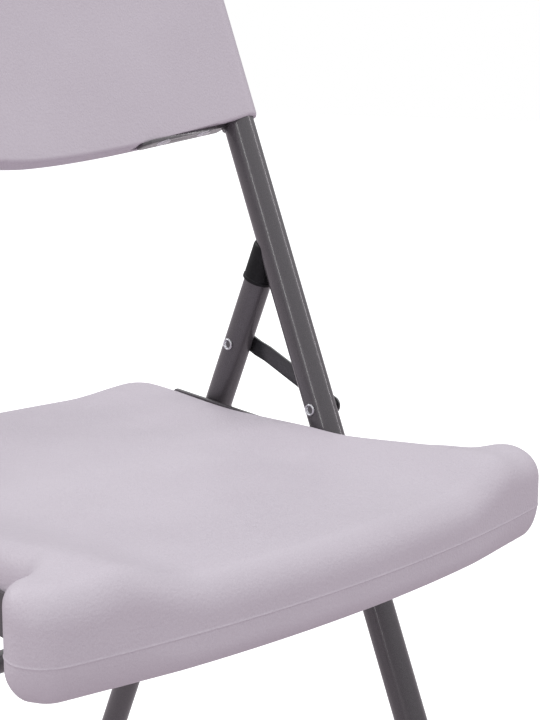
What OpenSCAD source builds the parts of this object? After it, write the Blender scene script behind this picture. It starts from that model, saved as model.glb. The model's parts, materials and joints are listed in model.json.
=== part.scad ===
// Folding chair: two leaning front tubes carry a moulded backrest, two rear legs
// swing under them, and a moulded seat with steel side rails hangs between.
// Z is up, the chair faces -Y, and +X is the right-hand side seen from the front.
// The origin is on the floor, in the middle of the chair's bounding box.

/* [Side frames] */
// Distance between the centre lines of the two side frames
frame_w = 418; // [410:2:430]
// Height of the pivot between front tube and side link
link_z = 440; // [435:1:445]
// Backward lean of the front tubes from the vertical
front_lean = 22.4; // [22:0.1:23]
// Forward lean of the rear legs from the vertical
rear_lean = 23.6; // [23:0.1:24]
// Outer diameter of the front tubes
front_tube_d = 25.4; // [25:0.1:25.8]
// Outer diameter of the rear legs
rear_tube_d = 23; // [22.6:0.1:23.4]
// Wall thickness of the tubes
tube_wall = 1.5; // [1.2:0.1:2]
// Outer diameter of the cross braces
brace_d = 19; // [16:1:20]
// Height of the front cross brace
front_brace_z = 150; // [120:5:170]
// Height of the rear cross brace
rear_brace_z = 215; // [180:5:240]

/* [Linkage] */
// Length of the side link between its two pivots
link_len = 102.7; // [102:0.1:103.4]
// Rise of the side link above the horizontal, towards the rear
link_rise = 23.8; // [23:0.1:24.5]
// Height of the pivot between front tube and seat rail
seat_pivot_z = 410; // [408:1:412]
// Height of the pivot between rear leg and seat rail
leg_pivot_z = 422; // [420:1:424]
// Shank diameter of the tubular rivets
rivet_d = 6; // [5.6:0.1:6.2]

/* [Seat] */
// Half width of the seat between its front lobes and its rear corners
seat_half_w = 191; // [190:0.5:191.5]
// Reach of the seat's front edge in front of the link pivot
seat_front = 224.5; // [220:0.5:226]
// Reach of the seat's rear edge behind the link pivot
seat_rear = 203.5; // [198:0.5:206]
// Radius of each rounded front lobe
lobe_r = 24; // [22:0.5:26]
// Height of the seat rails' upright web
rail_h = 27; // [26:0.5:28]
// Thickness of the seat rails
rail_t = 3; // [2.5:0.1:3]

/* [Backrest] */
// Half width of the backrest
back_half_w = 225.5; // [225:0.5:228]
// Height of the backrest at its middle, along the tubes
back_h = 208; // [195:1:215]
// How far the middle of the backrest is set back
back_bow = 19; // [15:1:22]

/* [Hidden] */
$fn = 48;

steel = "#605c62";
link_steel = "#4c4b50";
plastic = "#cfc9d1";
black = "#1e1e20";
zinc = "#c6c6ca";

eps = 0.01;
play = 0.1;                 // gap between faces that slide on each other
pin_play = 0.1;             // hole diameter minus pin diameter
frame_x = frame_w / 2;
front_r = front_tube_d / 2;
rear_r = rear_tube_d / 2;
foot_wall = 2.6;
foot_len = 34;
foot_base = 4;
foot_gap = 1;                // between a foot's floor and the lowest point of its tube
front_cut_z = foot_base + front_r * sin(front_lean) + foot_gap;
rear_cut_z = foot_base + rear_r * sin(rear_lean) + foot_gap;
brace_bite = 1;             // how far a cross brace's cut end wraps round the side tube

// Stations on the side frames, measured from the front link pivot
rear_dy = link_len * cos(link_rise);
rear_z = link_z + link_len * sin(link_rise);
seat_pivot_dy = (seat_pivot_z - link_z) * tan(front_lean);
leg_pivot_dy = rear_dy - (leg_pivot_z - rear_z) * tan(rear_lean);
rear_foot_reach = rear_dy + rear_z * tan(rear_lean) + (rear_r + foot_wall) / cos(rear_lean);
link_y = (seat_front - rear_foot_reach) / 2;
rear_y = link_y + rear_dy;
rail_tilt = atan2(leg_pivot_z - seat_pivot_z, leg_pivot_dy - seat_pivot_dy);
leg_pivot_s = norm([leg_pivot_dy - seat_pivot_dy, leg_pivot_z - seat_pivot_z]);

// Height of a level h on the front tubes and rear legs, as a distance along them
function up_front(h) = (h - link_z) / cos(front_lean);
function up_rear(h) = (h - rear_z) / cos(rear_lean);

// Seat rails: an upright web outside the seat and a flange under it
washer_t = 1.6;
rail_outer = frame_x - front_r - washer_t - play;
rail_inner = rail_outer - rail_t;
rail_front = -116;
rail_rear = 174;
rail_above = 11;            // web above the pivot line
rail_cut = 7;               // chamfers at the ends of the web
rail_flange = 22;
flange_top = rail_above - rail_h + rail_t;
rail_screws = [-98, -36, 62, 138];
screw_d = 4.8;
screw_len = 12;             // in the seat
slot_w = 10;                // clearance slot for the open pivot in the rail
slot_h = 16;

// Rivet heads
head_d = 12;
head_h = 2;
rim_d = 10;
rim_h = 1.5;
bore_d = 3.6;
bore_depth = 5;
head_dome_r = dome_r(head_d, head_h);

// Side links
link_t = 2;
link_w = 14;
link_end_r = 7;
front_washer_t = 1.1;
rear_washer_t = 0.4;
link_in_front = frame_x + front_r + front_washer_t + play;
link_in_rear = frame_x + rear_r + rear_washer_t + play;
bend_start = 13;            // bend between the two ends, from the rear pivot
bend_len = 9;

// Rear leg caps
cap_from = 60.5;
cap_top = 95;
cap_wall = 1.3;
cap_lip = 0.5;              // how far the rim at the cap's lower end stands out
cap_lip_h = 2.5;
cap_round = 5;
cap_gap = 0.3;              // to the front tube
leg_top = 65.5;

// Backrest, in the plane of the front tubes: p points rearward, q up the tube
back_low = 221.5;           // q of the lower edge in the middle
back_rise = 21.5;           // how much the lower edge rises to the tubes
back_r = 15.5;              // half thickness around the tubes
back_mid_r = 10;            // half thickness in the middle
back_top_drop = 10;
back_corner_r = 70;
back_foot_r = 4;
back_edge_r = 3;
back_crown_r = 8;           // rounding along the top
back_tip = 0.5;             // half thickness left at the outermost edge
tube_top = 360;
tube_play = 0.3;

// Tabs under the backrest
tab_w = 16;
tab_t = 2.6;
tab_p = 9;
tab_in = 104;
tab_out = 198;
tab_chamfer = 6;
tab_end_play = 4;           // recess beyond the tab's free end
tab_rivets = [127, 173];
tab_slope = 7.4;
tab_q = 239.8;              // q of the tab's lower face at the tube
tab_rivet_p = -3;           // from the tab's centre line
tab_head_d = 12;
tab_head_h = 1.6;
tab_dome_r = dome_r(tab_head_d, tab_head_h);
tab_rivet_len = 14;

// ---------- helpers ----------

function clamp01(t) = max(0, min(1, t));
function smooth(t) = let (c = clamp01(t)) c * c * (3 - 2 * c);
function arc(cx, cy, r, a0, a1, n) =
    [for (i = [0:n]) let (a = a0 + (a1 - a0) * i / n) [cx + r * cos(a), cy + r * sin(a)]];
function tail(list) = [for (i = [1:len(list) - 1]) list[i]];
function mix2(a, b, t) = a + (b - a) * t;
// Runs from 0 to 1 over the ramp [start, length]
function ramp(v, r) = smooth((v - r[0]) / r[1]);
// Radius of the sphere whose cap is d wide and h high
function dome_r(d, h) = (pow(d / 2, 2) + pow(h, 2)) / (2 * h);

// Places children on the front tube: origin at the link pivot, local Z up the tube
module on_front(x) {
    translate([x, link_y, link_z]) rotate([-front_lean, 0, 0]) children();
}

// Places children on the rear leg: origin at the link pivot, local Z up the leg
module on_rear(x) {
    translate([x, rear_y, rear_z]) rotate([rear_lean, 0, 0]) children();
}

// Places children on the seat rail: origin at the seat pivot, local Y along the rail
module on_rail() {
    translate([0, link_y + seat_pivot_dy, seat_pivot_z]) rotate([rail_tilt, 0, 0]) children();
}

module both_sides() {
    children();
    mirror([1, 0, 0]) children();
}

module along_x(from, to, d) {
    translate([from, 0, 0]) rotate([0, 90, 0]) cylinder(d = d, h = to - from);
}

// Closed skin through rings of equal length, closed by a fan at each end
module skin(rings) {
    n = len(rings[0]);
    m = len(rings);
    pts = concat([for (r = rings) each r], [centre_of(rings[0]), centre_of(rings[m - 1])]);
    sides = [for (k = [0:m - 2], i = [0:n - 1]) let (j = (i + 1) % n)
        each [[k * n + i, k * n + j, (k + 1) * n + j], [k * n + i, (k + 1) * n + j, (k + 1) * n + i]]];
    first = [for (i = [0:n - 1]) [n * m, (i + 1) % n, i]];
    last = [for (i = [0:n - 1]) [n * m + 1, (m - 1) * n + i, (m - 1) * n + (i + 1) % n]];
    polyhedron(points = pts, faces = concat(sides, first, last), convexity = 6);
}
function centre_of(ring) =
    [for (c = [0:2]) (min([for (p = ring) p[c]]) + max([for (p = ring) p[c]])) / 2];

// Tubular rivet along +X: rolled hollow rim at the inner end, domed head at the outer end
module rivet(inner, outer) {
    length = outer - inner;
    translate([inner, 0, 0]) rotate([0, 90, 0]) rotate_extrude() difference() {
        union() {
            square([rivet_d / 2, length]);
            translate([0, -rim_h / 2]) square([rim_d / 2 - rim_h / 2, rim_h / 2]);
            translate([rim_d / 2 - rim_h / 2, -rim_h / 2]) intersection() {
                circle(d = rim_h);
                translate([-rim_h, -rim_h]) square([2 * rim_h, 1.5 * rim_h]);
            }
            translate([0, -rim_h]) square([rim_d / 2 - rim_h / 2, rim_h / 2]);
            translate([0, length]) intersection() {
                square([head_d / 2, head_h]);
                translate([0, head_h - head_dome_r]) circle(r = head_dome_r, $fn = 96);
            }
        }
        translate([-eps, -rim_h - eps]) square([bore_d / 2, rim_h + bore_depth]);
        translate([-head_d, -length]) square([head_d, 4 * length]);
    }
}

// ---------- front frame ----------

module front_tube() {
    color(steel) on_front(frame_x) difference() {
        translate([0, 0, up_front(front_cut_z)])
            cylinder(d = front_tube_d, h = tube_top - up_front(front_cut_z));
        translate([0, 0, up_front(front_cut_z) - eps])
            cylinder(r = front_r - tube_wall, h = tube_top - up_front(front_cut_z) + 2 * eps);
        along_x(-front_tube_d, front_tube_d, rivet_d);
        translate([0, 0, up_front(seat_pivot_z)]) along_x(-front_tube_d, front_tube_d, rivet_d);
    }
}

module front_cross_brace() {
    color(steel) difference() {
        translate([0, link_y + (front_brace_z - link_z) * tan(front_lean), front_brace_z])
            brace_blank(front_r);
        for (x = [-frame_x, frame_x])
            on_front(x) translate([0, 0, -link_z]) cylinder(r = front_r, h = link_z);
    }
}

// Straight tube reaching the middle of each side tube; the caller copes its ends
module brace_blank(side_r) {
    reach = frame_x - sqrt(pow(side_r, 2) - pow(brace_d / 2, 2)) + brace_bite;
    difference() {
        along_x(-reach, reach, brace_d);
        along_x(-reach - eps, reach + eps, brace_d - 2 * tube_wall);
    }
}

module front_foot() {
    color(black) intersection() {
        on_front(frame_x) foot_sleeve(front_r, up_front(front_cut_z), up_front(0));
        translate([0, -link_z, 0]) cube([frame_w, 2 * link_z, link_z]);
    }
}

// Cap over the lower end of a tube whose end is at z = cut, over a floor at z = floor
module foot_sleeve(r, cut, floor) {
    rim = 2;
    rotate_extrude() polygon([
        [0, 2 * floor - cut], [r + foot_wall, 2 * floor - cut], [r + foot_wall, cut + foot_len],
        [r + foot_wall - rim, cut + foot_len + rim], [r, cut + foot_len + rim], [r, cut], [0, cut]
    ]);
}

// ---------- backrest ----------

function back_bottom(x) =
    back_low + back_rise * pow(min(abs(x), frame_x) / frame_x, 1.5)
    + corner_drop(abs(x), back_foot_r);
function back_top(x) =
    back_low + back_h - back_top_drop * pow(x / frame_x, 2) - corner_drop(abs(x), back_corner_r);
function corner_drop(x, r) =
    x > back_half_w - r ? r - sqrt(max(0, pow(r, 2) - pow(x - back_half_w + r, 2))) : 0;
function back_mid(x) = back_bow * max(0, 1 - pow(x / frame_x, 2));
function back_thick(x) =
    abs(x) > back_half_w - back_r
    ? sqrt(max(pow(back_tip, 2), pow(back_r, 2) - pow(abs(x) - back_half_w + back_r, 2)))
    : back_mid_r + (back_r - back_mid_r) * pow(abs(x) / (back_half_w - back_r), 4);

// One loop of the backrest at x, in p and q
function back_ring(x) =
    let (
        h = back_thick(x), m = back_mid(x), e = min(h, back_edge_r), c = min(h, back_crown_r),
        lo = back_bottom(x) + e, hi = max(back_top(x) - c, lo + 1)
    )
    [for (p = concat(
        arc(m - h + e, lo, e, 180, 270, 4), arc(m + h - e, lo, e, 270, 360, 4),
        arc(m + h - c, hi, c, 0, 90, 4), arc(m - h + c, hi, c, 90, 180, 4)
    )) [x, p[0], p[1]]];

back_steps = 28;
function back_x(i) = back_half_w * sin(90 * i / back_steps);

module backrest_shell() {
    color(plastic) on_front(0) difference() {
        skin([for (i = [-back_steps:back_steps]) back_ring(back_x(i))]);
        for (x = [-frame_x, frame_x])
            translate([x, 0, 0]) cylinder(r = front_r + tube_play, h = tube_top + play);
        both_sides() tab_place() {
            translate([tab_in - tab_out - tab_end_play, -tab_w, 0])
                cube([tab_out - tab_in + tab_end_play, tab_w * 1.5 + play, tab_t + play]);
            for (x = tab_rivets) translate([x - tab_out, tab_rivet_p, 0])
                cylinder(d = screw_d, h = tab_rivet_len);
        }
    }
}

// Origin on the tab's lower face at the tube, local X outward along the tab
module tab_place() {
    translate([tab_out, tab_p, tab_q]) rotate([0, -tab_slope, 0]) children();
}

module back_bracket() {
    color(steel) on_front(0) difference() {
        tab_place() difference() {
            linear_extrude(tab_t) polygon([
                [0, -tab_w / 2], [0, tab_w / 2], [tab_in - tab_out + tab_chamfer, tab_w / 2],
                [tab_in - tab_out, tab_w / 4], [tab_in - tab_out, -tab_w / 4],
                [tab_in - tab_out + tab_chamfer, -tab_w / 2]
            ]);
            for (x = tab_rivets)
                translate([x - tab_out, tab_rivet_p, -eps]) cylinder(d = screw_d, h = 2 * tab_t);
        }
        translate([frame_x, 0, 0]) cylinder(r = front_r, h = tube_top);
    }
}

module back_bracket_rivets() {
    color(zinc) on_front(0) both_sides() tab_place() for (x = tab_rivets)
    translate([x - tab_out, tab_rivet_p, 0]) {
        cylinder(d = screw_d, h = tab_rivet_len);
        translate([0, 0, -tab_head_h]) rotate_extrude() intersection() {
            square([tab_head_d / 2, tab_head_h]);
            translate([0, tab_dome_r]) circle(r = tab_dome_r, $fn = 96);
        }
    }
}

// ---------- pivots ----------

module link_front_rivets() {
    color(zinc) both_sides() on_front(0)
        rivet(frame_x - front_r, link_in_front + link_t + play);
}

module link_rear_rivets() {
    color(zinc) both_sides() on_rear(0)
        rivet(frame_x - rear_r, link_in_rear + link_t + play);
}

// Seat pivot: the rim lies on the rail's inner face, the head on the tube's outer face
module seat_pivot_rivets() {
    color(zinc) both_sides() on_front(0) translate([0, 0, up_front(seat_pivot_z)])
        rivet(rail_inner - play, frame_x + front_r);
}

module leg_pivot_rivets() {
    color(zinc) both_sides() on_rear(0) translate([0, 0, up_rear(leg_pivot_z)])
        rivet(rail_inner - play, frame_x + rear_r);
}

// Washer shaped to the tube on one side and flat on the other
module saddle_washer(from, to, d) {
    difference() {
        along_x(from, to, d);
        along_x(from - 1, to + 1, rivet_d);
    }
}

module link_front_washers() {
    color(black) both_sides() on_front(0) difference() {
        saddle_washer(frame_x + front_r / 2, frame_x + front_r + front_washer_t, 2 * link_end_r - 1);
        translate([frame_x, 0, -front_tube_d]) cylinder(r = front_r, h = 2 * front_tube_d);
    }
}

module link_rear_washers() {
    color(black) both_sides() on_rear(0) difference() {
        saddle_washer(frame_x + rear_r / 2, frame_x + rear_r + rear_washer_t, 2 * link_end_r - 1);
        translate([frame_x, 0, -rear_tube_d]) cylinder(r = rear_r, h = 2 * rear_tube_d);
    }
}

module seat_pivot_washers() {
    color(black) both_sides() on_front(0) difference() {
        translate([0, 0, up_front(seat_pivot_z)])
            saddle_washer(rail_outer + play, frame_x - front_r / 2, 2 * link_end_r);
        translate([frame_x, 0, -2 * link_z]) cylinder(r = front_r, h = 4 * link_z);
    }
}

module leg_pivot_spacers() {
    color(black) both_sides() on_rear(0) difference() {
        translate([0, 0, up_rear(leg_pivot_z)])
            saddle_washer(rail_outer + play, frame_x - rear_r / 2, 2 * link_end_r);
        translate([frame_x, 0, -2 * link_z]) cylinder(r = rear_r, h = 4 * link_z);
    }
}

// ---------- side link ----------

// Flat strip with round ends, stepped outward so that it clears the thicker front tube
module side_link() {
    color(link_steel) on_link() intersection() {
        rotate([0, 90, 0]) linear_extrude(2 * frame_x) difference() {
            union() {
                circle(r = link_end_r);
                translate([0, -link_len]) circle(r = link_end_r);
                translate([-link_w / 2, -link_len]) square([link_w, link_len]);
            }
            circle(d = rivet_d + pin_play);
            translate([0, -link_len]) circle(d = rivet_d + pin_play);
        }
        translate([0, 0, -link_w]) linear_extrude(2 * link_w) polygon([
            [link_in_rear, 2 * link_end_r], [link_in_rear + link_t, 2 * link_end_r],
            [link_in_rear + link_t, -bend_start],
            [link_in_front + link_t, -bend_start - bend_len],
            [link_in_front + link_t, -link_len - 2 * link_end_r],
            [link_in_front, -link_len - 2 * link_end_r],
            [link_in_front, -bend_start - bend_len], [link_in_rear, -bend_start]
        ]);
    }
}

// Origin at the rear link pivot, local Y pointing away from the front pivot
module on_link() {
    translate([0, rear_y, rear_z]) rotate([link_rise, 0, 0]) children();
}

// ---------- rear legs ----------

module rear_leg() {
    color(steel) on_rear(frame_x) difference() {
        translate([0, 0, up_rear(rear_cut_z)]) cylinder(r = rear_r, h = leg_top - up_rear(rear_cut_z));
        translate([0, 0, up_rear(rear_cut_z) - eps])
            cylinder(r = rear_r - tube_wall, h = leg_top - up_rear(rear_cut_z) + 2 * eps);
        along_x(-rear_tube_d, rear_tube_d, rivet_d);
        translate([0, 0, up_rear(leg_pivot_z)]) along_x(-rear_tube_d, rear_tube_d, rivet_d);
    }
}

module rear_cross_brace() {
    color(steel) difference() {
        translate([0, rear_y - (rear_brace_z - rear_z) * tan(rear_lean), rear_brace_z])
            brace_blank(rear_r);
        for (x = [-frame_x, frame_x])
            on_rear(x) translate([0, 0, -link_z]) cylinder(r = rear_r, h = link_z);
    }
}

module rear_foot() {
    color(black) intersection() {
        on_rear(frame_x) foot_sleeve(rear_r, up_rear(rear_cut_z), up_rear(0));
        translate([0, -link_z, 0]) cube([frame_w, 2 * link_z, link_z]);
    }
}

// Cap over the top of the rear leg, cut to lie along the rear of the front tube
module rear_cap() {
    cap_r = rear_r + cap_wall;
    color(black) difference() {
        on_rear(frame_x) difference() {
            rotate_extrude() polygon(concat(
                [[0, cap_from], [cap_r + cap_lip, cap_from], [cap_r + cap_lip, cap_from + cap_lip_h],
                [cap_r, cap_from + cap_lip_h + cap_lip]],
                arc(cap_r - cap_round, cap_top - cap_round, cap_round, 0, 90, 6),
                [[0, cap_top]]
            ));
            translate([0, 0, cap_from - eps]) cylinder(r = rear_r, h = leg_top - cap_from + eps);
        }
        on_front(frame_x) cylinder(r = front_r + cap_gap, h = tube_top);
    }
}

// ---------- seat ----------

// The seat is drawn around the link pivot: x across, y rearward, heights above the pivot
lobe_x = frame_x + 1.5;
lobe_y = -seat_front + 44;
notch_r = 28;
notch_y = lobe_y + sqrt(pow(notch_r + lobe_r, 2) - pow(seat_half_w + notch_r - lobe_x, 2));
notch_a = atan2(notch_y - lobe_y, seat_half_w + notch_r - lobe_x);
rear_corner_r = 24;
rear_corner_x = seat_half_w - rear_corner_r;
rear_corner_y = seat_rear - 29;
// Radius of a shallow end arc that is tangent to a corner circle of radius b at x,
// when the arc's crown lies a beyond the corner's centre
function end_r(x, a, b) = (pow(x, 2) + pow(a, 2) - pow(b, 2)) / (2 * (a - b));
rear_arc_r = end_r(rear_corner_x, seat_rear - rear_corner_y, rear_corner_r);
front_arc_r = end_r(lobe_x, lobe_y + seat_front, lobe_r);
rear_arc_a = atan2(rear_corner_x, rear_corner_y - seat_rear + rear_arc_r);
front_arc_a = atan2(lobe_x, front_arc_r - seat_front - lobe_y);

right_half = concat(
    arc(0, seat_rear - rear_arc_r, rear_arc_r, 90, 90 - rear_arc_a, 8),
    tail(arc(rear_corner_x, rear_corner_y, rear_corner_r, 90 - rear_arc_a, 0, 7)),
    [for (i = [1:9]) [seat_half_w, mix2(rear_corner_y, notch_y, i / 9)]],
    tail(arc(seat_half_w + notch_r, notch_y, notch_r, 180, 180 + notch_a, 6)),
    tail(arc(lobe_x, lobe_y, lobe_r, notch_a, front_arc_a - 90, 10)),
    tail(arc(0, front_arc_r - seat_front, front_arc_r, front_arc_a - 90, -90, 8))
);
outline = concat(right_half, [for (i = [len(right_half) - 2:-1:1]) [-right_half[i][0], right_half[i][1]]]);

function inward(i) =
    let (
        n = len(outline), a = outline[(i + n - 1) % n], b = outline[(i + 1) % n],
        d = b - a
    ) [d[1], -d[0]] / norm(d);

// Crown of the sides and floor of the dish along the middle, as heights above the link pivot.
// Each ramp is [start, length]: rear ramps run with y, front ramps against it.
side_low = -9.2;
side_rear_rise = 8.5;
side_rear_ramp = [63, 124];
side_front_rise = 9.7;
side_front_ramp = [22, 165];
dish_low = -18;
dish_rear_rise = 11.2;
dish_rear_ramp = [110, 85];
dish_front_rise = 3;
dish_front_ramp = [-20, 185];
function side_z(y) =
    side_low + side_rear_rise * ramp(y, side_rear_ramp) + side_front_rise * ramp(-y, side_front_ramp);
function middle_z(y) =
    dish_low + dish_rear_rise * ramp(y, dish_rear_ramp) + dish_front_rise * ramp(-y, dish_front_ramp);

// Blend across the seat from the dish to the sides, and how much each lobe falls away
hip_ramp = [105, 74];
knee_ramp = [115, 64];
knee_from_hip = [90, 80];
lobe_drop = 3.4;
lobe_drop_out = [171, 30];
lobe_drop_front = [120, 40];
function seat_blend(x, y) = mix2(ramp(abs(x), hip_ramp), ramp(abs(x), knee_ramp), ramp(-y, knee_from_hip));
function seat_top(x, y) =
    mix2(middle_z(y), side_z(y), seat_blend(x, y))
    - lobe_drop * ramp(abs(x), lobe_drop_out) * ramp(-y, lobe_drop_front);

// Underside: flat on the rail flanges, with a deeper lip along the front
lip_z = -68.5;
lip_ramp = [150, 30];
function flange_z(y) =
    seat_pivot_z - link_z + flange_top / cos(rail_tilt) + tan(rail_tilt) * (y - seat_pivot_dy);
function seat_under(y) = mix2(flange_z(y), lip_z, ramp(-y, lip_ramp));

// Rounding of the upper edge: at the rear, beside the thighs and along the front
edge_rear = 10;
edge_side = 17;
edge_side_ramp = [0, 60];
edge_side_end = [132, 30];
edge_front = 21;
edge_ramp = [150, 50];
// Width and height of the rounding of the lower edge
heel_rear = 5;
heel_front = 14.5;
heel_ramp = [150, 40];
heel_lobe_ramp = [130, 70]; // the lower edge is twice as high as wide at the lobes
function edge_r(y) =
    mix2(mix2(edge_rear, edge_front, ramp(-y, edge_ramp)), edge_side,
        ramp(-y, edge_side_ramp) * (1 - ramp(-y, edge_side_end)));
function heel_w(y) = mix2(heel_rear, heel_front, ramp(-y, heel_ramp));
function heel_h(x, y) = heel_w(y) * (1 + ramp(abs(x), heel_lobe_ramp) * ramp(-y, heel_ramp));

spine_front = -120;
spine_rear = 110;
function to_spine(p, t) = mix2(p, [0, max(spine_front, min(spine_rear, p[1]))], t);
function at(p, z) = [p[0], link_y + p[1], link_z + z];

function top_ring(t) = [for (i = [0:len(outline) - 1])
    let (p = to_spine(outline[i] + inward(i) * edge_r(outline[i][1]), t)) at(p, seat_top(p[0], p[1]))];
function shoulder_ring(a) = [for (i = [0:len(outline) - 1])
    let (r = edge_r(outline[i][1]), p = outline[i] + inward(i) * r)
    at(outline[i] + inward(i) * r * (1 - sin(a)), seat_top(p[0], p[1]) - r * (1 - cos(a)))];
function heel_ring(a) = [for (i = [0:len(outline) - 1])
    let (p = outline[i])
    at(p + inward(i) * heel_w(p[1]) * (1 - cos(a)), seat_under(p[1]) + heel_h(p[0], p[1]) * (1 - sin(a)))];
function under_ring(t) = [for (i = [0:len(outline) - 1])
    let (p = to_spine(outline[i] + inward(i) * heel_w(outline[i][1]), t)) at(p, seat_under(p[1]))];

module seat_shell() {
    pocket_t = 4;
    rim_pocket_d = rim_d + 4;
    slot_pocket_d = rim_d + 11;
    color(plastic) difference() {
        skin(concat(
            [for (t = [0.92, 0.75, 0.58, 0.42, 0.28, 0.15, 0.06]) top_ring(t)],
            [for (a = [0, 25, 50, 75, 90]) shoulder_ring(a)],
            [for (a = [0, 30, 60]) heel_ring(a)],
            [for (t = [0, 0.08, 0.2, 0.45, 0.75, 0.92]) under_ring(t)]
        ));
        both_sides() on_rail() {
            translate([seat_half_w - pocket_t, 0, 0])
                rotate([0, 90, 0]) cylinder(d = rim_pocket_d, h = 2 * pocket_t);
            translate([seat_half_w - pocket_t, leg_pivot_s, 0])
                rotate([0, 90, 0]) cylinder(d = slot_pocket_d, h = 2 * pocket_t);
            for (s = rail_screws) translate([rail_outer - rail_flange / 2, s, flange_top - eps])
                cylinder(d = screw_d, h = screw_len);
        }
    }
}

module seat_rail() {
    color(steel) on_rail() {
        difference() {
            translate([rail_inner, 0, 0]) rotate([90, 0, 90]) linear_extrude(rail_t) difference() {
                polygon([
                    [rail_front + rail_cut, rail_above], [rail_rear - rail_cut, rail_above],
                    [rail_rear, rail_above - rail_cut], [rail_rear, rail_above - rail_h],
                    [rail_front, rail_above - rail_h], [rail_front, rail_above - rail_cut]
                ]);
                circle(d = rivet_d + pin_play);
                translate([leg_pivot_s, 0]) slot_shape();
            }
        }
        difference() {
            translate([rail_outer - rail_flange, rail_front, flange_top - rail_t])
                cube([rail_flange - rail_t, rail_rear - rail_front, rail_t]);
            for (s = rail_screws)
                translate([rail_outer - rail_flange / 2, s, flange_top - 2 * rail_t])
                    cylinder(d = screw_d + pin_play, h = 3 * rail_t);
        }
    }
}

module slot_shape() {
    for (s = [-1, 1]) translate([0, s * (slot_h - slot_w) / 2]) circle(d = slot_w);
    square([slot_w, slot_h - slot_w], center = true);
}

// Pan-head screws up through the rail flanges into the seat
module seat_rail_screws() {
    pan_d = 9.5;
    pan_taper = 2.5;
    pan_h = 2.6;
    tip_gap = 1;
    cross_l = 4.4;
    cross_w = 1;
    cross_h = 1.4;
    color(zinc) both_sides() on_rail() for (s = rail_screws)
        translate([rail_outer - rail_flange / 2, s, flange_top - rail_t]) difference() {
            union() {
                cylinder(d = screw_d, h = screw_len + rail_t - tip_gap);
                translate([0, 0, -pan_h]) cylinder(d1 = pan_d - pan_taper, d2 = pan_d, h = pan_h);
            }
            for (a = [0, 90]) rotate([0, 0, a]) translate([-cross_l / 2, -cross_w / 2, -pan_h - eps])
                cube([cross_l, cross_w, cross_h]);
        }
}

mirror([1, 0, 0]) front_tube();  // front_tube_left
front_tube();  // front_tube_right
front_cross_brace();
mirror([1, 0, 0]) front_foot();  // front_foot_left
front_foot();  // front_foot_right
backrest_shell();
mirror([1, 0, 0]) back_bracket();  // back_bracket_left
back_bracket();  // back_bracket_right
back_bracket_rivets();
link_front_rivets();
link_front_washers();
seat_pivot_rivets();
seat_pivot_washers();
mirror([1, 0, 0]) side_link();  // side_link_left
side_link();  // side_link_right
mirror([1, 0, 0]) rear_leg();  // rear_leg_left
rear_leg();  // rear_leg_right
rear_cross_brace();
mirror([1, 0, 0]) rear_foot();  // rear_foot_left
rear_foot();  // rear_foot_right
mirror([1, 0, 0]) rear_cap();  // rear_cap_left
rear_cap();  // rear_cap_right
link_rear_rivets();
link_rear_washers();
leg_pivot_rivets();
leg_pivot_spacers();
seat_shell();
mirror([1, 0, 0]) seat_rail();  // seat_rail_left
seat_rail();  // seat_rail_right
seat_rail_screws();
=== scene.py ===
"""Looks of the folding chair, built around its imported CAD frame.

Metres, +Z up, the chair faces -Y. Left and right are as seen from the front.
"""

import json
import math

import bmesh
import bpy
import numpy as np
from mathutils import Matrix, Vector


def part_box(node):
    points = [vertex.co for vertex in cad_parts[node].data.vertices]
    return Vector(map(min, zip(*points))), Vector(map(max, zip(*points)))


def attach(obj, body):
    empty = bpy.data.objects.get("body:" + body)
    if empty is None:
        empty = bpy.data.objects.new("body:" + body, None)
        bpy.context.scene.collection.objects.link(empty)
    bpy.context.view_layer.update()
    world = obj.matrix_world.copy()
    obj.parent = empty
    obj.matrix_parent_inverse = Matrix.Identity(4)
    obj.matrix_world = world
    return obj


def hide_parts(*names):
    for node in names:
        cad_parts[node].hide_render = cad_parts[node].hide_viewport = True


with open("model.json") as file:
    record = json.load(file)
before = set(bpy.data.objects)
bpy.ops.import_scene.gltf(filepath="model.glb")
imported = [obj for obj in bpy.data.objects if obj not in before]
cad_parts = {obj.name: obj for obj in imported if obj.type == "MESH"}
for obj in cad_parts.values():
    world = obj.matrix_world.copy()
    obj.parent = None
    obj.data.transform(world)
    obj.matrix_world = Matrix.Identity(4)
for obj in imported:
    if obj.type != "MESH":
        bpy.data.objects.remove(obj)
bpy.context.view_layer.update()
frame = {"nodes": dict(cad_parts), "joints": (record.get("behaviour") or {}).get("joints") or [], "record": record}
BODY_OF = {n: b for b, ns in frame["record"]["behaviour"]["bodies"].items() for n in ns}
SLOT_OF = {s["node"]: s["material_slot"] for s in frame["record"]["subparts"]}
JOINT_POS = {j["name"]: Vector(j["pos_m"]) for j in frame["joints"]}

# ---------- stations of the frame ----------

LINK_PIVOT = JOINT_POS["link_swing"]
LEG_PIVOT = JOINT_POS["rear_leg_swing"]
SEAT_PIVOT = JOINT_POS["seat_fold"]
FRONT_LEAN = math.atan2(LINK_PIVOT.y - SEAT_PIVOT.y, LINK_PIVOT.z - SEAT_PIVOT.z)
_tube_low, _tube_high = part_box("front_tube_right")
FRAME_X = (_tube_low.x + _tube_high.x) / 2
TUBE_R = (_tube_high.x - _tube_low.x) / 2
ON_FRONT = Matrix.Translation(LINK_PIVOT) @ Matrix.Rotation(-FRONT_LEAN, 4, "X")
MM = 0.001


# ---------- camera ----------

EYE_FROM_PIVOT = Vector((-0.9309, -0.8424, 0.27405))
EYE_HEADING = math.radians(44.0)
EYE_PITCH = math.radians(-10.62)
LENS_MM = 80.0


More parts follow.
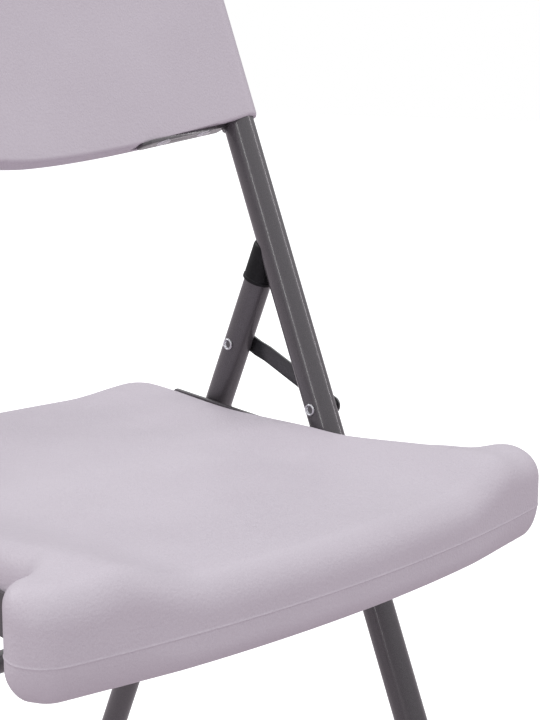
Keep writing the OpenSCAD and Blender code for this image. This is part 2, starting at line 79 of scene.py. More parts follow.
def add_camera():
    data = bpy.data.cameras.new("camera")
    data.lens = LENS_MM
    data.sensor_width = 36.0
    camera = bpy.data.objects.new("camera", data)
    camera.location = LINK_PIVOT + Vector((FRAME_X, 0, 0)) + EYE_FROM_PIVOT
    aim = Vector((
        math.cos(EYE_HEADING) * math.cos(EYE_PITCH),
        math.sin(EYE_HEADING) * math.cos(EYE_PITCH),
        math.sin(EYE_PITCH),
    ))
    camera.rotation_mode = "QUATERNION"
    camera.rotation_quaternion = aim.to_track_quat("-Z", "Y")
    bpy.context.scene.collection.objects.link(camera)
    bpy.context.scene.camera = camera


add_camera()


# ---------- materials ----------


class Shader:
    """A Principled material whose colour, roughness and bump come from object-space noise."""

    def __init__(self, name):
        self.material = bpy.data.materials.new(name)
        self.material.use_nodes = True
        self.tree = self.material.node_tree
        self.bsdf = self.tree.nodes["Principled BSDF"]
        self.place = self.tree.nodes.new("ShaderNodeTexCoord").outputs["Object"]
        self.normal = None

    def link(self, source, target):
        self.tree.links.new(source, target)

    def set(self, **sockets):
        for name, value in sockets.items():
            self.bsdf.inputs[name.replace("_", " ")].default_value = value

    def noise(self, scale, detail=2.0, roughness=0.5):
        node = self.tree.nodes.new("ShaderNodeTexNoise")
        node.inputs["Scale"].default_value = scale
        node.inputs["Detail"].default_value = detail
        node.inputs["Roughness"].default_value = roughness
        self.link(self.place, node.inputs["Vector"])
        return node.outputs["Fac"]

    def cells(self, scale, feature="SMOOTH_F1"):
        node = self.tree.nodes.new("ShaderNodeTexVoronoi")
        node.feature = feature
        node.inputs["Scale"].default_value = scale
        self.link(self.place, node.inputs["Vector"])
        return node.outputs["Distance"]

    def remap(self, source, low, high, from_low=0.3, from_high=0.7):
        node = self.tree.nodes.new("ShaderNodeMapRange")
        for socket, value in zip(
            ("From Min", "From Max", "To Min", "To Max"), (from_low, from_high, low, high)
        ):
            node.inputs[socket].default_value = value
        self.link(source, node.inputs["Value"])
        return node.outputs["Result"]

    def colour(self, factor, dark, light):
        node = self.tree.nodes.new("ShaderNodeMix")
        node.data_type = "RGBA"
        node.inputs["A"].default_value = (*dark, 1)
        node.inputs["B"].default_value = (*light, 1)
        self.link(factor, node.inputs["Factor"])
        return node.outputs["Result"]

    def blend(self, factor, first, second):
        node = self.tree.nodes.new("ShaderNodeMix")
        node.data_type = "RGBA"
        self.link(factor, node.inputs["Factor"])
        self.link(first, node.inputs["A"])
        self.link(second, node.inputs["B"])
        return node.outputs["Result"]

    def bump(self, height, strength, distance):
        node = self.tree.nodes.new("ShaderNodeBump")
        node.inputs["Strength"].default_value = strength
        node.inputs["Distance"].default_value = distance
        self.link(height, node.inputs["Height"])
        if self.normal is not None:
            self.link(self.normal, node.inputs["Normal"])
        self.normal = node.outputs["Normal"]
        self.link(self.normal, self.bsdf.inputs["Normal"])


def pale_plastic():
    """Blow-moulded plastic: a fine pebble grain, slightly uneven tone."""
    s = Shader("pale_plastic")
    tone = s.colour(s.remap(s.noise(14, 3), 0, 1), (0.575, 0.515, 0.578), (0.62, 0.56, 0.625))
    fleck = s.colour(s.remap(s.noise(1500, 2), 0, 1), (0.53, 0.475, 0.535), (0.65, 0.595, 0.66))
    s.link(s.blend(s.remap(s.noise(60, 2), 0.35, 0.65), tone, fleck), s.bsdf.inputs["Base Color"])
    s.link(s.remap(s.noise(220, 3), 0.42, 0.56), s.bsdf.inputs["Roughness"])
    s.set(Specular_IOR_Level=0.45)
    s.bump(s.cells(560), 0.6, 0.4 * MM)
    s.bump(s.noise(1300, 3, 0.6), 0.4, 0.2 * MM)
    return s.material


def frame_paint(name="frame_paint", dark=(0.060, 0.053, 0.060), light=(0.100, 0.090, 0.100)):
    """Satin powder coat on steel: a fine fleck and a slight orange peel under a smoother gloss."""
    s = Shader(name)
    fleck = s.remap(s.noise(1900, 2, 0.6), 0, 1, 0.35, 0.66)
    s.link(s.colour(fleck, dark, light), s.bsdf.inputs["Base Color"])
    s.link(s.remap(s.noise(420, 2), 0.36, 0.5), s.bsdf.inputs["Roughness"])
    s.set(Metallic=0.2, Specular_IOR_Level=0.5, Coat_Weight=0.85, Coat_Roughness=0.16)
    s.bump(s.noise(1500, 2, 0.55), 0.3, 0.14 * MM)
    s.bump(s.noise(230, 1), 0.15, 0.2 * MM)
    return s.material


def rivet_metal():
    """Bright zinc plate with faint scuffs."""
    s = Shader("rivet_metal")
    tone = s.remap(s.noise(900, 3), 0, 1)
    s.link(s.colour(tone, (0.66, 0.66, 0.69), (0.80, 0.80, 0.83)), s.bsdf.inputs["Base Color"])
    s.link(s.remap(s.noise(1400, 3), 0.2, 0.34), s.bsdf.inputs["Roughness"])
    s.set(Metallic=1.0)
    s.bump(s.noise(700, 2), 0.08, 0.15 * MM)
    return s.material


def black_plastic():
    """Satin black moulding."""
    s = Shader("black_plastic")
    tone = s.remap(s.noise(500, 3), 0, 1)
    black = s.colour(tone, (0.004, 0.004, 0.005), (0.009, 0.009, 0.011))
    s.link(black, s.bsdf.inputs["Base Color"])
    s.link(s.remap(s.noise(350, 2), 0.36, 0.48), s.bsdf.inputs["Roughness"])
    s.set(Specular_IOR_Level=0.24)
    s.bump(s.noise(1500, 2), 0.15, 0.12 * MM)
    return s.material


def foot_rubber():
    """Matt black rubber, a little dusty."""
    s = Shader("foot_rubber")
    tone = s.remap(s.noise(240, 4), 0, 1)
    black = s.colour(tone, (0.018, 0.018, 0.019), (0.036, 0.035, 0.036))
    s.link(black, s.bsdf.inputs["Base Color"])
    s.link(s.remap(s.noise(300, 2), 0.62, 0.82), s.bsdf.inputs["Roughness"])
    s.bump(s.noise(1100, 3), 0.3, 0.2 * MM)
    return s.material


MATERIALS = {
    "pale_plastic": pale_plastic(),
    "frame_paint": frame_paint(),
    "link_paint": frame_paint("link_paint", (0.030, 0.030, 0.034), (0.052, 0.051, 0.057)),
    "rivet_metal": rivet_metal(),
    "black_plastic": black_plastic(),
    "foot_rubber": foot_rubber(),
}
for _name, _node in frame["nodes"].items():
    for _slot in _node.material_slots:
        _slot.material = MATERIALS[SLOT_OF[_name]]


# ---------- mesh helpers ----------


def smooth(t):
    t = np.clip(t, 0, 1)
    return t * t * (3 - 2 * t)


def mix(a, b, t):
    return a + (b - a) * t


def arc(cx, cy, r, start, end, steps):
    """Points of an arc in the plane, from start to end in degrees."""
    a = np.radians(np.linspace(start, end, steps + 1))
    return np.column_stack((cx + r * np.cos(a), cy + r * np.sin(a)))


def resample(loop, count):
    """count points at equal spacing along a closed loop."""
    closed = np.vstack((loop, loop[:1]))
    run = np.concatenate(([0], np.cumsum(np.linalg.norm(np.diff(closed, axis=0), axis=1))))
    at = np.linspace(0, run[-1], count, endpoint=False)
    return np.column_stack([np.interp(at, run, closed[:, k]) for k in range(2)])


def skin(name, rings, weld=1e-6):
    """A closed mesh through rings of equal length; its first and last rings are closed by faces."""
    rings = np.asarray(rings, float)
    count, size, _ = rings.shape
    verts = rings.reshape(-1, 3)
    faces = []
    for k in range(count - 1):
        for i in range(size):
            j = (i + 1) % size
            faces.append((k * size + i, k * size + j, (k + 1) * size + j, (k + 1) * size + i))
    mesh = bpy.data.meshes.new(name)
    mesh.from_pydata(verts.tolist(), [], faces)
    bm = bmesh.new()
    bm.from_mesh(mesh)
    bmesh.ops.remove_doubles(bm, verts=bm.verts, dist=weld)
    bmesh.ops.holes_fill(bm, edges=[e for e in bm.edges if e.is_boundary], sides=0)
    bmesh.ops.recalc_face_normals(bm, faces=bm.faces)
    bm.to_mesh(mesh)
    bm.free()
    piece = bpy.data.objects.new(name, mesh)
    bpy.context.scene.collection.objects.link(piece)
    return piece


def shade(piece, degrees=35):
    """Smooth shading, kept sharp where faces meet at more than the given angle."""
    piece.data.shade_smooth()
    piece.data.set_sharp_from_angle(angle=math.radians(degrees))


def moved(piece, matrix):
    """The piece moved by matrix; where that mirrors it, its faces are turned outward again."""
    piece.data.transform(matrix)
    if matrix.is_negative:
        piece.data.flip_normals()
    return piece


def place(piece, node):
    """piece stands for a CAD node: it takes the node's body, slot and material."""
    slot = SLOT_OF[node]
    piece.data.materials.clear()
    piece.data.materials.append(MATERIALS[slot])
    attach(piece, BODY_OF[node])
    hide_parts(node)


def carve(piece, cutters):
    """Cuts the cutters out of piece and removes them."""
    for cutter in cutters:
        modifier = piece.modifiers.new("carve", "BOOLEAN")
        modifier.operation = "DIFFERENCE"
        modifier.solver = "EXACT"
        modifier.object = cutter
    bpy.context.view_layer.update()
    carved = bpy.data.meshes.new_from_object(
        piece.evaluated_get(bpy.context.evaluated_depsgraph_get())
    )
    piece.modifiers.clear()
    piece.data = carved
    for cutter in cutters:
        bpy.data.objects.remove(cutter)


def prism(name, outline, low, high, matrix):
    """A straight prism over an outline in local XY, from low to high, moved by matrix."""
    rings = [np.column_stack((outline, np.full(len(outline), z))) for z in (low, high)]
    piece = skin(name, rings)
    piece.data.transform(matrix)
    return piece


# ---------- seat ----------

# The seat is drawn around the link pivot: x across, y rearward, heights above the pivot
SEAT_HALF_W = 0.191
SEAT_FRONT = 0.2245
SEAT_REAR = 0.2035
LOBE_R = 0.024
LOBE_X = FRAME_X + 0.0015
LOBE_Y = -SEAT_FRONT + 0.044
NOTCH_R = 0.028
NOTCH_X = SEAT_HALF_W + NOTCH_R
NOTCH_Y = LOBE_Y + math.sqrt((NOTCH_R + LOBE_R) ** 2 - (NOTCH_X - LOBE_X) ** 2)
NOTCH_A = math.degrees(math.atan2(NOTCH_Y - LOBE_Y, NOTCH_X - LOBE_X))
CORNER_R = 0.024
CORNER_X = SEAT_HALF_W - CORNER_R
CORNER_Y = SEAT_REAR - 0.029
SPINE = (-0.120, 0.110)
OUTLINE_POINTS = 560
# Each ramp is (start, length): rear ramps run with y, front ramps against it
SIDE_LOW = -0.0092
SIDE_REAR_RISE, SIDE_REAR_RAMP = 0.0085, (0.063, 0.124)
SIDE_FRONT_RISE, SIDE_FRONT_RAMP = 0.0097, (0.022, 0.165)
DISH_LOW = -0.018
DISH_REAR_RISE, DISH_REAR_RAMP = 0.0112, (0.110, 0.085)
DISH_FRONT_RISE, DISH_FRONT_RAMP = 0.003, (-0.020, 0.185)
HIP_RAMP = (0.105, 0.074)
KNEE_RAMP = (0.115, 0.064)
KNEE_FROM_HIP = (0.090, 0.080)
LOBE_DROP, LOBE_DROP_OUT, LOBE_DROP_FRONT = 0.0034, (0.171, 0.030), (0.120, 0.040)
# rounding of the upper edge, and of the lower edge
EDGE_REAR, EDGE_SIDE, EDGE_FRONT = 0.010, 0.017, 0.021
EDGE_RAMP, EDGE_SIDE_RAMP, EDGE_SIDE_END = (0.150, 0.050), (0, 0.060), (0.132, 0.030)
HEEL_REAR, HEEL_FRONT = 0.005, 0.0145
HEEL_RAMP, HEEL_LOBE_RAMP = (0.150, 0.040), (0.130, 0.070)
# underside: flat on the rail flanges, with a deeper lip along the front
RAIL_TILT = math.radians(5.18264)
FLANGE_TOP = -0.013
LIP_Z = -0.0685
LIP_RAMP = (0.150, 0.030)
# the moulding's parting line: its height along the front, half width and height of the ridge
SEAM_Z = -0.044
SEAM_RAMP = (0.100, 0.060)
SEAM_W = 0.0007
SEAM_H = 0.0004
SEAM_UNEVEN = 0.35
SEAM_WAVES = (610, 233)
# shallow tack-offs in the underside: centre x, centre y, half length across, half length along
TACK_OFFS = [(x, y, 0.030, 0.021) for y in (-0.062, 0.006, 0.074) for x in (-0.092, 0.0, 0.092)]
TACK_DEPTH = 0.0045
TACK_SLOPE = 0.35


def end_r(x, a, b):
    """Radius of a shallow arc tangent to a circle of radius b at x, crowned a past its centre."""
    return (x * x + a * a - b * b) / (2 * (a - b))


def seat_outline():
    """Outline of the seat from above, rear edge first, then down the right-hand side."""
    rear_r = end_r(CORNER_X, SEAT_REAR - CORNER_Y, CORNER_R)
    front_r = end_r(LOBE_X, LOBE_Y + SEAT_FRONT, LOBE_R)
    rear_a = math.degrees(math.atan2(CORNER_X, CORNER_Y - SEAT_REAR + rear_r))
    front_a = math.degrees(math.atan2(LOBE_X, front_r - SEAT_FRONT - LOBE_Y))
    half = np.vstack((
        arc(0, SEAT_REAR - rear_r, rear_r, 90, 90 - rear_a, 60),
        arc(CORNER_X, CORNER_Y, CORNER_R, 90 - rear_a, 0, 40)[1:],
        arc(NOTCH_X, NOTCH_Y, NOTCH_R, 180, 180 + NOTCH_A, 30),
        arc(LOBE_X, LOBE_Y, LOBE_R, NOTCH_A, front_a - 90, 60)[1:],
        arc(0, front_r - SEAT_FRONT, front_r, front_a - 90, -90, 80)[1:],
    ))
    mirrored = half[-2:0:-1] * (-1, 1)
    return resample(np.vstack((half, mirrored)), OUTLINE_POINTS)


def ramp(v, start, length):
    return smooth((v - start) / length)


def side_z(y):
    """Height of the crown along the seat's sides."""
    rear = SIDE_REAR_RISE * ramp(y, *SIDE_REAR_RAMP)
    return SIDE_LOW + rear + SIDE_FRONT_RISE * ramp(-y, *SIDE_FRONT_RAMP)


def middle_z(y):
    """Height of the dish's floor."""
    rear = DISH_REAR_RISE * ramp(y, *DISH_REAR_RAMP)
    return DISH_LOW + rear + DISH_FRONT_RISE * ramp(-y, *DISH_FRONT_RAMP)


def seat_top(x, y):
    """Height of the seat's top: a dish along the middle, crowned towards the sides."""
    x = np.abs(x)
    across = mix(ramp(x, *HIP_RAMP), ramp(x, *KNEE_RAMP), ramp(-y, *KNEE_FROM_HIP))
    lobe_fall = LOBE_DROP * ramp(x, *LOBE_DROP_OUT) * ramp(-y, *LOBE_DROP_FRONT)
    return mix(middle_z(y), side_z(y), across) - lobe_fall


def flange_z(y):
    """Height of the underside where it lies on the seat rails' flanges."""
    from_pivot = SEAT_PIVOT - LINK_PIVOT
    level = from_pivot.z + FLANGE_TOP / math.cos(RAIL_TILT)
    return level + math.tan(RAIL_TILT) * (y - from_pivot.y)


def seat_under(y):
    return mix(flange_z(y), LIP_Z, ramp(-y, *LIP_RAMP))


def tack_off(x, y):
    """Rise of the underside where the two skins are tacked together."""
    rise = np.zeros(len(x))
    for cx, cy, across, along in TACK_OFFS:
        away = (((x - cx) / across) ** 4 + ((y - cy) / along) ** 4) ** 0.25
        rise = np.maximum(rise, TACK_DEPTH * smooth((1 - away) / TACK_SLOPE))
    return rise


def seat_shell():
    outline = seat_outline()
    step = np.roll(outline, -1, axis=0) - np.roll(outline, 1, axis=0)
    inward = np.column_stack((step[:, 1], -step[:, 0])) / np.linalg.norm(step, axis=1)[:, None]
    x, y = outline.T
    edge_r = mix(EDGE_REAR, EDGE_FRONT, ramp(-y, *EDGE_RAMP))
    beside = ramp(-y, *EDGE_SIDE_RAMP) * (1 - ramp(-y, *EDGE_SIDE_END))
    edge_r = mix(edge_r, EDGE_SIDE, beside)
    heel_w = mix(HEEL_REAR, HEEL_FRONT, ramp(-y, *HEEL_RAMP))
    heel_h = heel_w * (1 + ramp(np.abs(x), *HEEL_LOBE_RAMP) * ramp(-y, *HEEL_RAMP))

    def offset(d):
        return outline + inward * np.asarray(d).reshape(-1, 1)

    def level(points, z):
        return np.column_stack((points[:, 0], LINK_PIVOT.y + points[:, 1], LINK_PIVOT.z + z))

    def towards_spine(points, t):
        spine = np.column_stack((np.zeros(len(points)), np.clip(points[:, 1], *SPINE)))
        return mix(points, spine, t)

    rim = offset(edge_r)
    rim_z = seat_top(rim[:, 0], rim[:, 1])
    wall_top = rim_z - edge_r
    under = seat_under(y)
    wall_low = under + heel_h

    def wall(z, bulge=0.0):
        """The ring round the seat at height z, with the rounding of both edges."""
        above = np.clip((z - wall_top) / edge_r, 0, 1)
        below = np.clip((wall_low - z) / heel_h, 0, 1)
        inset = edge_r * (1 - np.sqrt(1 - above**2)) + heel_w * (1 - np.sqrt(1 - below**2))
        return level(offset(inset - bulge), z)

    rings = []
    for t in np.linspace(1, 0, 46)[:-1]:
        p = towards_spine(rim, t)
        rings.append(level(p, seat_top(p[:, 0], p[:, 1])))
    # the moulding's parting line: a fine raised seam, level along the front
    seam_z = mix((wall_top + wall_low) / 2, SEAM_Z, ramp(-y, *SEAM_RAMP))
    waves = np.sin(x * SEAM_WAVES[0]) * np.sin(x * SEAM_WAVES[1] + 1)
    bulge = SEAM_H * (1 + SEAM_UNEVEN * waves)
    for a in np.radians(np.linspace(0, 90, 25)):
        rings.append(wall(mix(rim_z, seam_z + 2 * SEAM_W, 1 - math.cos(a))))
    for across, height in ((1, 0), (0.5, 0.75), (0, 1), (-0.5, 0.75), (-1, 0)):
        rings.append(wall(seam_z + SEAM_W * across, bulge * height))
    for a in np.radians(np.linspace(0, 90, 19)):
        rings.append(wall(mix(seam_z - 2 * SEAM_W, under, math.sin(a))))
    heel = offset(heel_w)
    for t in np.linspace(0, 1, 46)[1:]:
        p = towards_spine(heel, t)
        rings.append(level(p, seat_under(p[:, 1]) + tack_off(p[:, 0], p[:, 1])))
    piece = skin("seat_shell_skin", rings)
    shade(piece, 60)
    place(piece, "seat_shell")


seat_shell()


# ---------- backrest ----------

# Drawn in the plane of the front tubes: x across, p rearward, q up the tube from the link pivot
BACK_LOW = 0.2215
BACK_RISE = 0.0215
BACK_H = 0.208
BACK_HALF_W = 0.2255
BACK_BOW = 0.019
BACK_R = 0.0155
BACK_MID_R = 0.010
BACK_TOP_DROP = 0.010
BACK_CORNER_R = 0.070
BACK_FOOT_R = 0.004
BACK_EDGE_R = 0.003
BACK_CROWN_R = 0.008
BACK_TIP = 0.0005
BORE_R = TUBE_R + 0.0003
TUBE_TOP = 0.360
TAB_W = 0.016
TAB_T = 0.0026
TAB_P = 0.009
TAB_IN = 0.104
TAB_OUT = 0.198
TAB_Q = 0.2398
TAB_SLOPE = math.radians(7.4)
TAB_END_PLAY = 0.004
TAB_PLAY = 0.0001
RECESS_DEPTH = 0.010


def corner_drop(x, r):
    """How far a rounded corner of radius r has fallen away at x."""
    past = np.clip(x - (BACK_HALF_W - r), 0, r)
    return r - np.sqrt(r * r - past * past)


def back_ring(x):
    """The backrest's section at x, as points (x, p, q)."""
    across = abs(x) / FRAME_X
    low = BACK_LOW + BACK_RISE * min(across, 1) ** 1.5 + corner_drop(abs(x), BACK_FOOT_R)
    high = BACK_LOW + BACK_H - BACK_TOP_DROP * across**2 - corner_drop(abs(x), BACK_CORNER_R)
    mid = BACK_BOW * max(0, 1 - across**2)
    past = abs(x) - (BACK_HALF_W - BACK_R)
    if past > 0:
        half = math.sqrt(max(BACK_TIP**2, BACK_R**2 - past**2))
    else:
        half = BACK_MID_R + (BACK_R - BACK_MID_R) * (abs(x) / (BACK_HALF_W - BACK_R)) ** 4
    r = min(half, BACK_EDGE_R)
    crown = min(half, BACK_CROWN_R)
    low, high = low + r, max(high - crown, low + 2 * r)
    side = np.linspace(low, high, 26)[1:-1]
    section = np.vstack((
        arc(mid - half + r, low, r, 180, 270, 8),
        arc(mid + half - r, low, r, 270, 360, 8),
        np.column_stack((np.full(len(side), mid + half), side)),
        arc(mid + half - crown, high, crown, 0, 90, 12),
        arc(mid - half + crown, high, crown, 90, 180, 12),
        np.column_stack((np.full(len(side), mid - half), side[::-1])),
    ))
    return np.column_stack((np.full(len(section), x), section))


def backrest_shell():
    steps = 100
    xs = BACK_HALF_W * np.sin(np.linspace(-math.pi / 2, math.pi / 2, 2 * steps + 1))
    piece = skin("backrest_shell_skin", [back_ring(x) for x in xs], weld=1e-7)
    cutters = []
    circle = arc(0, 0, BORE_R, 0, 360, 64)[:-1]
    for side in (-1, 1):
        at_tube = Matrix.Translation((side * FRAME_X, 0, 0))
        cutters.append(prism("bore", circle, 0, TUBE_TOP, at_tube))
        at_tab = Matrix.Translation((side * TAB_OUT, TAB_P, TAB_Q)) @ Matrix.Rotation(
            -side * TAB_SLOPE, 4, "Y"
        )
        inner = side * (TAB_IN - TAB_OUT - TAB_END_PLAY)
        recess = np.array([(inner, -TAB_W), (0, -TAB_W), (0, TAB_W / 2), (inner, TAB_W / 2)])
        cutters.append(prism("recess", recess, -RECESS_DEPTH, TAB_T + TAB_PLAY, at_tab))
    carve(piece, cutters)
    piece.data.transform(ON_FRONT)
    shade(piece, 40)
    place(piece, "backrest_shell")


backrest_shell()


# ---------- tubes, braces and their welds ----------

REAR_LEAN = math.radians(23.6)
ON_REAR = Matrix.Translation(LEG_PIVOT) @ Matrix.Rotation(REAR_LEAN, 4, "X")
REAR_R = (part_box("rear_leg_right")[1].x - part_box("rear_leg_right")[0].x) / 2
# lower and upper end of each kind of tube, along it from its link pivot
TUBE_ENDS = {"front_tube": (-0.4652, TUBE_TOP), "rear_leg": (-0.5149, 0.0655)}
WALL = 0.0015
PIPE_EDGE = 0.0003
PIPE_SIDES = 96
BRACE_R = 0.0095
# weld beads: radius, ripple's share of it and length, and stand-off from the tube
BEAD_R = 0.0016
BEAD_RIPPLE = 0.12
BEAD_STEP = 0.0016
BEAD_OFF = 0.0004
TAB_WELD = (0.0035, 0.0118)
TAB_WELD_Q = TAB_Q - 0.0006
TAB_EDGE = 0.0004


def at_side(frame_matrix, side):
    """Origin at a pivot on one side frame, local Z up its tube, local X outward."""
    mirror = Matrix.Scale(side, 4, (1, 0, 0))
    return mirror @ frame_matrix @ Matrix.Translation((FRAME_X, 0, 0))


def pipe(name, r, low, high):
    """A tube along local Z with its end edges broken."""
    turn = np.linspace(0, 2 * math.pi, PIPE_SIDES + 1)[:-1]
    edge = PIPE_EDGE
    section = (
        (r, low + edge), (r, high - edge), (r - edge, high), (r - WALL, high), (r - WALL, low),
        (r - edge, low), (r, low + edge),
    )
    rings = [
        np.column_stack((radius * np.cos(turn), radius * np.sin(turn), np.full(PIPE_SIDES, z)))
        for radius, z in section
    ]
    return skin(name, rings)


def bead(y, z, tube_r):
    """A rippled weld bead on the inner face of a tube, through points y and z along the tube."""
    curve = np.column_stack((-np.sqrt(tube_r * tube_r - y * y) - BEAD_OFF, y, z))
    along = np.gradient(curve, axis=0)
    along /= np.linalg.norm(along, axis=1)[:, None]
    side = np.cross(along, (1, 0, 0))
    side /= np.linalg.norm(side, axis=1)[:, None]
    over = np.cross(side, along)
    run = np.concatenate(([0], np.cumsum(np.linalg.norm(np.diff(curve, axis=0), axis=1))))
    swell = (BEAD_R * (1 + BEAD_RIPPLE * np.sin(run / BEAD_STEP * math.pi)))[:, None]
    turn = np.linspace(0, 2 * math.pi, 13)[:-1]
    points = [curve + swell * (math.cos(a) * side + math.sin(a) * over) for a in turn]
    return skin("bead", np.stack(points, axis=1))


def join(name, parts):
    """One piece out of several, which are removed."""
    bm = bmesh.new()
    for part in parts:
        bm.from_mesh(part.data)
        bpy.data.objects.remove(part)
    mesh = bpy.data.meshes.new(name)
    bm.to_mesh(mesh)
    bm.free()
    piece = bpy.data.objects.new(name, mesh)
    bpy.context.scene.collection.objects.link(piece)
    return piece


def refined(node, width, angle=30):
    """The CAD node's shape with every edge sharper than the given angle rounded over."""
    source = frame["nodes"][node]
    bm = bmesh.new()
    bm.from_mesh(source.data)
    bm.transform(source.matrix_world)
    bmesh.ops.remove_doubles(bm, verts=bm.verts, dist=2e-6)
    bmesh.ops.dissolve_limit(bm, angle_limit=math.radians(0.5), verts=bm.verts, edges=bm.edges)
    if width:
        sharp = [e for e in bm.edges if e.is_manifold and e.calc_face_angle() > math.radians(angle)]
        bmesh.ops.bevel(
            bm, geom=sharp, offset=width, offset_type="OFFSET", segments=2, profile=0.5,
            affect="EDGES", clamp_overlap=True,
        )
    mesh = bpy.data.meshes.new(node)
    bm.to_mesh(mesh)
    bm.free()
    for attribute in [a for a in mesh.attributes if a.name == "custom_normal"]:
        mesh.attributes.remove(attribute)
    piece = bpy.data.objects.new(f"{node}_skin", mesh)
    bpy.context.scene.collection.objects.link(piece)
    return piece


def side_tubes():
    for kind, matrix, r in (("front_tube", ON_FRONT, TUBE_R), ("rear_leg", ON_REAR, REAR_R)):
        for name, side in (("left", -1), ("right", 1)):
            node = f"{kind}_{name}"
            low, high = TUBE_ENDS[kind]
            piece = moved(pipe(f"{node}_skin", r, low, high), at_side(matrix, side))
            shade(piece)
            place(piece, node)


def cross_braces():
    """Each brace's coped ends are welded round the side tubes."""
    turn = np.linspace(0, 2 * math.pi, 73)
    for node, matrix, r in (
        ("front_cross_brace", ON_FRONT, TUBE_R), ("rear_cross_brace", ON_REAR, REAR_R)
    ):
        low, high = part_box(node)
        centre = matrix.inverted() @ ((low + high) / 2)
        parts = [refined(node, 0)]
        for side in (-1, 1):
            weld = bead(BRACE_R * np.cos(turn), BRACE_R * np.sin(turn) + centre.z, r)
            parts.append(moved(weld, at_side(matrix, side)))
        piece = join(f"{node}_skin", parts)
        shade(piece)
        place(piece, node)


def back_brackets():
    """The tabs under the backrest, each welded to its tube along the tab's lower edge."""
    for name, side in (("left", -1), ("right", 1)):
        node = f"back_bracket_{name}"
        y = np.linspace(*TAB_WELD, 15)
        weld = moved(bead(y, np.full(len(y), TAB_WELD_Q), TUBE_R), at_side(ON_FRONT, side))
        piece = join(f"{node}_skin", [refined(node, TAB_EDGE), weld])
        shade(piece)
        place(piece, node)


side_tubes()
cross_braces()
back_brackets()


# ---------- rivets ----------

# where each kind of pivot rivet's rim meets the metal, across the chair
INNER_RIM = {
    "link_front_rivets": FRAME_X - TUBE_R, "link_rear_rivets": FRAME_X - REAR_R,
    "seat_pivot_rivets": 0.1915, "leg_pivot_rivets": 0.1915,
}
HEAD_H = 0.002
RIM_R = 0.0048
ROLL_R = 0.00073
TAB_RIVETS = (0.127, 0.173)
TAB_RIVET_P = -0.003


def turned(name, profile, steps=40):
    """A piece turned about local X from a profile of (x, radius) points."""
    turn = np.linspace(0, 2 * math.pi, steps + 1)[:-1]
    rings = [
        np.column_stack((np.full(steps, x), r * np.cos(turn), r * np.sin(turn))) for x, r in profile
    ]
    return skin(name, rings, weld=2e-7)


def tubular_rivet(inner, outer):
    """A rivet along local X: rolled hollow rim at the inner end, domed head at the outer end."""
    rim = [(inner - ROLL_R + ROLL_R * math.sin(a), RIM_R - ROLL_R + ROLL_R * math.cos(a))
           for a in np.radians(np.linspace(60, -180, 17))]
    cup = [(inner - 0.0001, 0.0028), (inner + 0.0010, 0.0024), (inner + 0.0022, 0.0019),
           (inner + 0.0027, 0.0010), (inner + 0.0028, 0.0)]
    head = [(outer + 0.0002, 0.0058), (outer + 0.0006, 0.0060), (outer + 0.0011, 0.0056),
            (outer + 0.0016, 0.0044), (outer + 0.0019, 0.0028), (outer + 0.0020, 0.0012),
            (outer + 0.0020, 0.0)]
    shank = [(outer, 0.003), (inner, 0.003), (inner, 0.0046)]
    return turned("rivet", cup[::-1] + rim[::-1] + shank[::-1] + head)


def flange_rivet():
    """A wide-flanged rivet under a tab: a domed flange round a hollow centre, local X upward."""
    dome = [(-0.0002, 0.0), (-0.0003, 0.0012), (-0.0011, 0.0017), (-0.0015, 0.0024),
            (-0.0016, 0.0031), (-0.0014, 0.0042), (-0.0010, 0.0052), (-0.0005, 0.0059),
            (0.0, 0.0060)]
    return turned("rivet", dome + [(0.0, 0.0024), (0.010, 0.0024), (0.010, 0.0)])


def pivot_rivets():
    frames = {
        "link_front_rivets": ON_FRONT, "link_rear_rivets": ON_REAR,
        "seat_pivot_rivets": ON_FRONT, "leg_pivot_rivets": ON_REAR,
    }
    for node, matrix in frames.items():
        low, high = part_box(node)
        centre = matrix.inverted() @ ((low + high) / 2)
        parts = []
        for side in (-1, 1):
            part = tubular_rivet(INNER_RIM[node] - FRAME_X, high.x - HEAD_H - FRAME_X)
            parts.append(moved(part, at_side(matrix, side) @ Matrix.Translation((0, 0, centre.z))))
        piece = join(f"{node}_skin", parts)
        shade(piece, 45)
        place(piece, node)


def bracket_rivets():
    parts = []
    stand = Matrix.Rotation(-math.pi / 2, 4, "Y")
    for side in (-1, 1):
        at_tab = Matrix.Scale(side, 4, (1, 0, 0)) @ ON_FRONT @ Matrix.Translation(
            (TAB_OUT, TAB_P, TAB_Q)
        ) @ Matrix.Rotation(-TAB_SLOPE, 4, "Y")
        for x in TAB_RIVETS:
            at_rivet = at_tab @ Matrix.Translation((x - TAB_OUT, TAB_RIVET_P, 0)) @ stand
            parts.append(moved(flange_rivet(), at_rivet))
    piece = join("back_bracket_rivets_skin", parts)
    shade(piece, 45)
    place(piece, "back_bracket_rivets")


pivot_rivets()
bracket_rivets()


# ---------- strips, caps and feet ----------

# width of the bevel on each kind of piece
ROUNDED = {
    "side_link": 0.0005, "seat_rail": 0.0005, "rear_cap": 0.0006, "front_foot": 0.0011,
    "rear_foot": 0.0011,
}
WASHERS = ("link_front_washers", "link_rear_washers", "seat_pivot_washers", "leg_pivot_spacers")
WASHER_EDGE = 0.0003
for _kind, _width in ROUNDED.items():
    for _side in ("left", "right"):
        _piece = refined(f"{_kind}_{_side}", _width)
        shade(_piece, 40)
        place(_piece, f"{_kind}_{_side}")
for _node in WASHERS:
    _piece = refined(_node, WASHER_EDGE)
    shade(_piece, 40)
    place(_piece, _node)


# ---------- stage ----------

SKY_ZENITH = (1.28, 1.31, 1.31, 1)
SKY_HORIZON = (0.36, 0.345, 0.36, 1)
SKY_BELOW = (0.62, 0.565, 0.605, 1)
WHITE = (1, 1, 1, 1)
SOFT_PINK = (1.0, 0.955, 0.99)
SOFTBOX_DISTANCE = 2.6


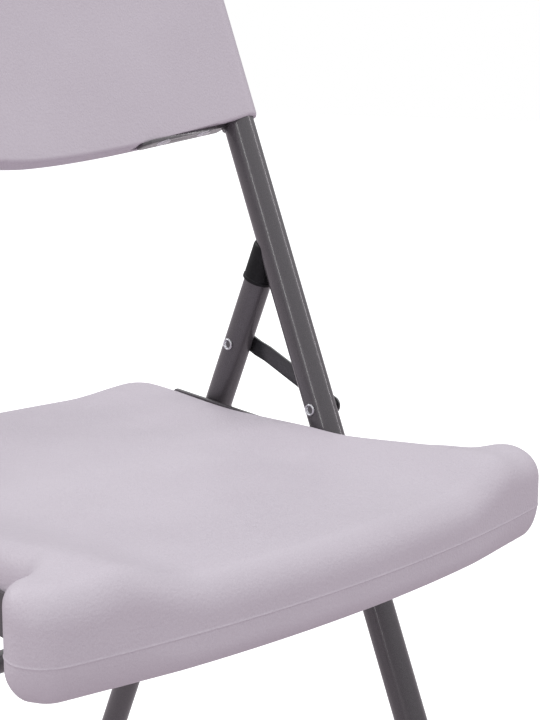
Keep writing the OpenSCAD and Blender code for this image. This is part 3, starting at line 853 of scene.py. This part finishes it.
def add_floor():
    """A pale floor that takes the chair's shadow but throws no light back up at it."""
    bpy.ops.mesh.primitive_plane_add(size=30, location=(0, 0, -0.0002))
    floor = bpy.context.object
    floor.name = "floor"
    s = Shader("floor")
    s.set(Base_Color=(0.86, 0.86, 0.86, 1), Roughness=0.9, Specular_IOR_Level=0.1)
    s.set(Emission_Color=WHITE, Emission_Strength=0.5)
    floor.data.materials.append(s.material)
    floor.visible_diffuse = False
    floor.visible_glossy = False


def add_softbox(name, azimuth, height, size, watts, colour=WHITE[:3]):
    """A rectangular soft light aimed at the seat; azimuth 0 is straight in front."""
    target = Vector((0, 0, LINK_PIVOT.z))
    turn = math.radians(azimuth)
    lamp_at = Vector((
        math.sin(turn) * SOFTBOX_DISTANCE, -math.cos(turn) * SOFTBOX_DISTANCE, height
    ))
    data = bpy.data.lights.new(name, "AREA")
    data.shape = "RECTANGLE"
    data.size, data.size_y = size
    data.energy = watts
    data.color = colour
    lamp = bpy.data.objects.new(name, data)
    lamp.location = lamp_at
    lamp.rotation_mode = "QUATERNION"
    lamp.rotation_quaternion = (target - lamp_at).to_track_quat("-Z", "Y")
    lamp.visible_camera = False
    bpy.context.scene.collection.objects.link(lamp)


def add_studio():
    """White to the eye, but as light a sky that is bright overhead and dim below."""
    world = bpy.data.worlds.new("studio")
    world.use_nodes = True
    tree = world.node_tree
    direction = tree.nodes.new("ShaderNodeTexCoord")
    height = tree.nodes.new("ShaderNodeSeparateXYZ")
    tree.links.new(direction.outputs["Generated"], height.inputs["Vector"])
    ramp = tree.nodes.new("ShaderNodeValToRGB")
    lift = tree.nodes.new("ShaderNodeMapRange")
    lift.inputs["From Min"].default_value = -1
    tree.links.new(height.outputs["Z"], lift.inputs["Value"])
    tree.links.new(lift.outputs["Result"], ramp.inputs["Fac"])
    stops = ((0.0, SKY_BELOW), (0.46, SKY_BELOW), (0.54, SKY_HORIZON), (1.0, SKY_ZENITH))
    while len(ramp.color_ramp.elements) < len(stops):
        ramp.color_ramp.elements.new(0.5)
    for element, (at, colour) in zip(ramp.color_ramp.elements, stops):
        element.position = at
        element.color = colour
    ray = tree.nodes.new("ShaderNodeLightPath")
    seen = tree.nodes.new("ShaderNodeMix")
    seen.data_type = "RGBA"
    seen.inputs["B"].default_value = WHITE
    tree.links.new(ray.outputs["Is Camera Ray"], seen.inputs["Factor"])
    tree.links.new(ramp.outputs["Color"], seen.inputs["A"])
    tree.links.new(seen.outputs["Result"], tree.nodes["Background"].inputs["Color"])
    bpy.context.scene.world = world
    bpy.context.scene.view_settings.view_transform = "Standard"
    add_softbox("left_box", 291, 1.3, (0.06, 1.9), 8.5)
    add_softbox("right_box", 60, 1.7, (0.14, 1.6), 7, SOFT_PINK)
    add_softbox("rear_box", 205, 2.4, (1.8, 1.2), 20)


add_floor()
add_studio()
